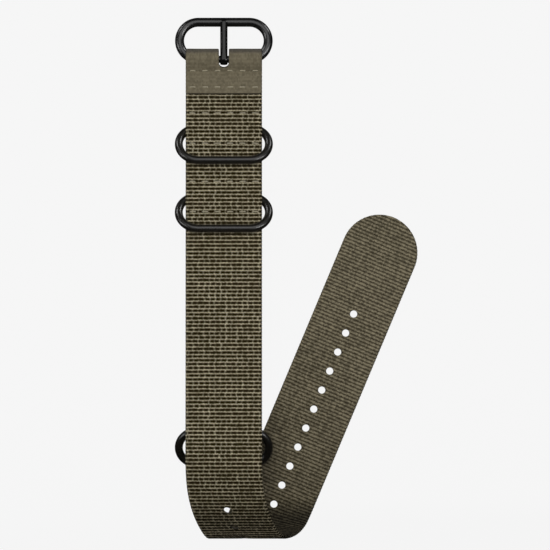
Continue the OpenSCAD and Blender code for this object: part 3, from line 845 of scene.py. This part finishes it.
def tongue(mat):
    """The tongue: a strip curled round the pivot bar, whose blade rests on the far bar."""
    eye = PIVOT_R + TONGUE_PLAY + TONGUE_HALF_WALL
    curl = np.radians(np.linspace(*TONGUE_CURL, 40))
    mid = [(eye * math.cos(t), eye * math.sin(t), TONGUE_HALF_WALL) for t in curl]
    mid = np.array(mid + list(BLADE))
    s = lengths(mid[:, :2])
    even = np.linspace(0, s[-1], 150)
    mid = np.stack([np.interp(even, s, mid[:, k]) for k in range(3)], 1)
    for _ in range(3):
        mid[1:-1] = (mid[:-2] + 2 * mid[1:-1] + mid[2:]) / 4
    d = np.gradient(mid[:, :2], axis=0)
    d /= np.hypot(d[:, 0], d[:, 1])[:, None]
    lean = -math.asin((FOLD_OUTER - FRAME_R) / FRAME_PITCH)
    c, sn = math.cos(lean), math.sin(lean)
    verts, uvs = [], []
    sides, full = 28, TONGUE_HALF_W
    for (y, z, h), (dy, dz), run in zip(mid, d, even):
        left = s[-1] - run
        w = math.sqrt(max(full**2 - (full - left) ** 2, 0.04)) if left < full else full
        for k in range(sides):
            t = 2 * math.pi * k / sides
            x = w * rounded(math.cos(t))
            o = h * rounded(math.sin(t)) * (1 - 0.16 * (x / full) ** 2)
            py, pz = y - dz * o, z + dy * o
            verts.append((x, PIVOT[0] + py * c - pz * sn, PIVOT[1] + py * sn + pz * c))
            uvs.append((k / sides, run))
    return mesh_object("Tongue_curled_strip", [(verts, tube_faces(len(mid), sides), uvs)], mat)


# ---------------------------------------------------------------- the object
path, loop_len, outermost = main_path()
a_loop = float(np.interp(0, path.s, path.a))
a_end_loop = float(np.interp(loop_len, path.s, path.a))
first_hole = a_end_loop + TAIL_TO_LAST_HOLE + (FLAT_HOLES - 1) * HOLE_PITCH
a_tip = first_hole + TIP_TO_HOLE
apex = int(np.argmax(path.yz[:, 0]))
local_y = path.yz[:, 0] * math.cos(TILT) - path.yz[:, 1] * math.sin(TILT) - PIVOT_Y
slot = (float(path.a[np.argmax(local_y[:apex] > -SLOT_REACH)]),
        float(path.a[apex + np.argmax(local_y[apex:] < -SLOT_REACH)]))
holes = []
for k in range(FLAT_HOLES + LOOP_HOLES):
    run = TAIL_TO_LAST_HOLE + (FLAT_HOLES - 1 - k) * HOLE_PITCH
    drift = LOOP_HOLE_DRIFT * min(1, max(0, -run / (2 * HOLE_PITCH)))
    holes.append((first_hole - k * HOLE_PITCH, -drift, HOLE_R))


def main_pitch(a):
    """Length of a rib, which changes round the loop."""
    return np.interp(a, [a_loop - 5, a_end_loop + 5], [FRONT_RIB, TAIL_RIB])


def backing_pitch(a):
    return np.full_like(a, BACKING_RIB)


pinches = [(FLAP_LEN - y, FLAP_PINCH) for y in FLAP_SEAMS[::-1]]
pinches += [(a_loop + LOOP_Y - bar - y, TUNNEL_PINCH)
            for bar in (UPPER_KEEPER, LOWER_KEEPER) for y in TUNNEL_SEAMS]

coarse = woven(
    "Webbing_ribbed_face",
    light=(0.740, 0.642, 0.418, 1), mid=(0.236, 0.200, 0.114, 1), dark=(0.0210, 0.0150, 0.0045, 1),
    gap=0.35, dash=0.72, bridge=0.78, contrast=1.0, relief=0.9, wobble=0.2, speckle=0.5,
    spots=0.8, narrow=0.92)
smooth_weave = dict(
    dark=(0.024, 0.0190, 0.0095, 1), gap=0.22, dash=0.7, bridge=0.72, contrast=0.72, relief=0.8,
    wobble=0.4, speckle=0.6)
fine = woven("Webbing_smooth_face", (0.283, 0.242, 0.153, 1), (0.122, 0.103, 0.062, 1),
             **smooth_weave, calm=11.5, band=(10.1, 11.6))
lining = woven("Webbing_backing_face", (0.244, 0.207, 0.126, 1), (0.105, 0.0875, 0.051, 1),
               **smooth_weave)
melted = cut_edge("Webbing_melted_edge", (0.055, 0.045, 0.024, 1), (0.125, 0.107, 0.064, 1))
stitch = twisted("Thread_twisted", (0.53, 0.475, 0.325, 1), (0.25, 0.215, 0.13, 1))
black = coated("Steel_black_coating", 0.25, 0.32, 0.6,
               dark=(0.0052, 0.0051, 0.0048, 1), light=(0.0088, 0.0086, 0.0080, 1))
satin = coated("Steel_satin_coating", 0.25, 0.33, 0.55,
               dark=(0.0085, 0.0074, 0.0056, 1), light=(0.0140, 0.0122, 0.0095, 1))
glossy = coated("Steel_glossy_coating", 0.12, 0.18, 0.35,
                dark=(0.0040, 0.0040, 0.0038, 1), light=(0.0070, 0.0068, 0.0064, 1))

strap = Webbing("Main_webbing", path, WEBBING_W, a_tip, main_pitch, True, holes, slot, pinches,
                float(path.a[apex]) + 3).build([coarse, fine, melted])
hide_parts("main_strap", "main_strap_tail")

back_path = backing_path()
backing = Webbing("Backing_webbing", back_path, BACKING_W, float(back_path.a[-1]),
                  backing_pitch).build([lining, coarse, melted])
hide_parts("backing_strap", "backing_strap_end")

# The plane of the main strap's blend passes between the front and the tip of the tail.
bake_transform(strap)
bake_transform(backing)


def add_seam(name, node, to_frame, top, low, body):
    piece = seam(name, to_frame, top, low, stitch)
    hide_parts(node)
    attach(piece, body)


def on_front(at):
    return lambda dy, z: to_row(at + dy, z)


def on_free_end(at):
    c, s = math.cos(SAG), math.sin(SAG)

    def to_frame(dy, z):
        y = -FREE_LEN + at + dy
        return to_row(HINGE[0] + y * c - z * s, HINGE[1] + y * s + z * c)

    return to_frame


for name, node, at, top, low in (
    ("Thread_flap_upper", "flap_seam_upper", PIVOT_Y - FLAP_SEAMS[0], 1.17, -1.2),
    ("Thread_flap_lower", "flap_seam_lower", PIVOT_Y - FLAP_SEAMS[1], 1.12, -1.16),
    ("Thread_upper_keeper_top", "upper_tunnel_seam_top",
     UPPER_KEEPER + TUNNEL_SEAMS[0], TUNNEL_TOP, TUNNEL_LOW),
    ("Thread_upper_keeper_bottom", "upper_tunnel_seam_bottom",
     UPPER_KEEPER + TUNNEL_SEAMS[1], TUNNEL_TOP, TUNNEL_LOW),
    ("Thread_lower_keeper_top", "lower_tunnel_seam_top",
     LOWER_KEEPER + TUNNEL_SEAMS[0], TUNNEL_TOP, TUNNEL_LOW),
    ("Thread_lower_keeper_bottom", "lower_tunnel_seam_bottom",
     LOWER_KEEPER + TUNNEL_SEAMS[1], TUNNEL_TOP, TUNNEL_LOW),
):
    add_seam(name, node, on_front(at), top, low, "front")
for name, node, at in (
    ("Thread_end_fold_inner", "end_seam_inner", END_SEAMS[0]),
    ("Thread_end_fold_outer", "end_seam_outer", END_SEAMS[1]),
):
    add_seam(name, node, on_free_end(at), HALF_T - 0.05, -HALF_T - WEBBING_T + 0.05, "backing_end")

blade = tongue(glossy)
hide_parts("buckle_tongue")
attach(blade, "tongue")

for node in ("buckle_frame", "upper_keeper_ring", "lower_keeper_ring", "end_ring"):
    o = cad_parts[node]
    for s in o.material_slots:
        s.material = black if node == "buckle_frame" else satin
    for poly in o.data.polygons:
        poly.use_smooth = True


# ---------------------------------------------------------------- stage, lights, camera
def flat_sheet(name, x0, x1, y0, y1, z, mat):
    """A rectangle level with the table."""
    mesh = bpy.data.meshes.new(name)
    mesh.from_pydata([(x0, y0, z), (x1, y0, z), (x1, y1, z), (x0, y1, z)], [], [(0, 1, 2, 3)])
    mesh.materials.append(mat)
    obj = link(name, mesh)
    return obj


pale = material(
    "Floor_pale", Roughness=0.9, Base_Color=(0.02, 0.02, 0.02, 1), Specular_IOR_Level=0.0,
    Emission_Color=(1, 1, 1, 1), Emission_Strength=FLOOR_GLOW)[0]
floor_z = (TABLE_Z - 0.02) * MM
floor = flat_sheet("Floor", -FLOOR_HALF, FLOOR_HALF, -FLOOR_HALF, FLOOR_HALF, floor_z, pale)
floor.visible_glossy = False
floor.visible_diffuse = False

# Dark cards that keep light off the loop, seen by neither camera nor reflections: x and y spans
# and height over the table.
card_black = material("Card_black", Roughness=1.0, Base_Color=(0.01, 0.01, 0.01, 1))[0]
for name, x0, x1, y0, y1, over_table in (
    ("Card_over_loop", -200, 200, -67, -46.5, 34),
    ("Card_over_tail", 12.5, 200, -170, -46.5, 12.5),
    ("Card_before_loop", -200, 12.5, -170, -60.5, 14),
):
    place = [v * MM for v in (x0, x1, y0, y1, TABLE_Z + over_table)]
    card = flat_sheet(name, *place, card_black)
    card.visible_camera = False
    card.visible_glossy = False


def lamp(name, place, size_x, size_y, watts):
    """A soft light aimed at the middle of the picture."""
    data = bpy.data.lights.new(name, "AREA")
    data.shape = "RECTANGLE"
    data.size, data.size_y = size_x, size_y
    data.energy = watts
    obj = link(name, data)
    obj.location = place
    aim = Vector((VIEW_X, VIEW_Y, 0)) - Vector(place)
    obj.rotation_euler = aim.to_track_quat("-Z", "Y").to_euler()
    return obj


# These draw the highlights on the rings.
for name, place, size_x, size_y, watts in (
    ("Light_key", (VIEW_X, 0.45, 0.90), 0.8, 0.9, 4.0),
    ("Light_left", (-0.85, 0.08, 0.52), 0.22, 0.6, 2.6),
    ("Light_right", (0.62, 0.0, 0.80), 0.22, 0.6, 4.8),
    ("Light_upper_left", (-0.65, 0.74, 0.19), 0.25, 0.25, 2.0),
    ("Light_upper_right", (0.65, 0.74, 0.19), 0.25, 0.25, 2.6),
):
    lamp(name, place, size_x, size_y, watts).visible_diffuse = False
# This one and the world light the webbing.
over = lamp("Light_cloth", (-0.10, 0.38, 1.05), 0.6, 0.5, 6.0)
over.visible_glossy = False
over.visible_camera = False
world = bpy.data.worlds.new("World")
world.use_nodes = True
background = world.node_tree.nodes["Background"]
background.inputs["Color"].default_value = (0.95, 0.96, 1.0, 1)
background.inputs["Strength"].default_value = WORLD_GLOW
world.cycles_visibility.glossy = False
bpy.context.scene.world = world

cam_data = bpy.data.cameras.new("Camera")
cam_data.sensor_width = 36
cam_data.lens = cam_data.sensor_width * VIEW_DISTANCE / VIEW_WIDTH
cam_data.clip_end = 20
cam = link("Camera", cam_data)
cam.location = (VIEW_X, VIEW_Y, VIEW_Z + VIEW_DISTANCE)
cam.rotation_euler = (0, 0, 0)
bpy.context.scene.camera = cam
bpy.context.scene.view_settings.view_transform = "Standard"
